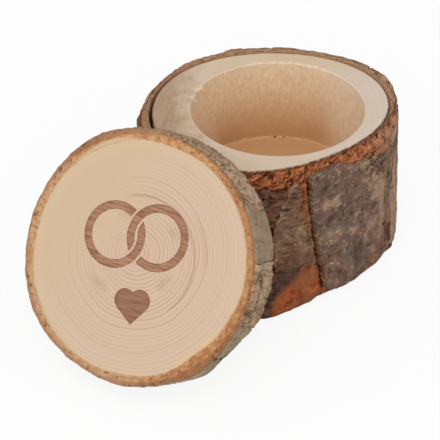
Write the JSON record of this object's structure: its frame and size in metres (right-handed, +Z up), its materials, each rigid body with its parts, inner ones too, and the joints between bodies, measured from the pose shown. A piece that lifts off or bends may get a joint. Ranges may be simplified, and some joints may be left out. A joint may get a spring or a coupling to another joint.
{
  "type": "wooden ring box",
  "caption": "Round ring box bored into a short log with its bark left on, with a loose bark-edged slice as lid, taken off and leaning on the rim.",
  "frame": {"origin": "middle of the flat base of the box, on the surface it stands on", "axes": "+Z up out of the pocket, -Y towards the front where the lid leans, +X to the right"},
  "size_m": [0.0951, 0.1041, 0.0584],
  "materials": {
    "box_wood": "sawn, dry",
    "lid_wood": "sanded, dry, ornament burnt in",
    "plug_wood": "turned, dry",
    "inner_bark": "crumbly, matt",
    "outer_bark": "rough, matt"
  },
  "bodies": {
    "box": {"box_wood": "box_wood", "box_inner_bark": "inner_bark", "box_bark_front_right": "outer_bark", "box_bark_front_tongue": "outer_bark", "box_bark_front_wedge": "outer_bark", "box_bark_toe": "inner_bark", "box_bark_left_front": "outer_bark", "box_bark_left": "outer_bark", "box_bark_left_back": "outer_bark", "box_bark_back": "outer_bark", "box_bark_right_back": "outer_bark", "box_bark_right": "outer_bark"},
    "lid": {"lid_wood": "lid_wood", "lid_plug": "plug_wood", "lid_inner_bark": "inner_bark", "lid_bark_top": "outer_bark", "lid_bark_top_left": "outer_bark", "lid_bark_left_upper": "outer_bark", "lid_bark_left_lower": "outer_bark", "lid_bark_bottom_left": "outer_bark", "lid_bark_bottom": "outer_bark", "lid_bark_bottom_right": "outer_bark", "lid_bark_right": "outer_bark", "lid_bark_right_upper": "outer_bark", "lid_bark_top_right": "outer_bark"}
  },
  "joints": [
    {"name": "lid_lift", "type": "slide", "parent": "box", "child": "lid", "axis": [0, 0, 1], "range_m": [0, 0.06]}
  ]
}
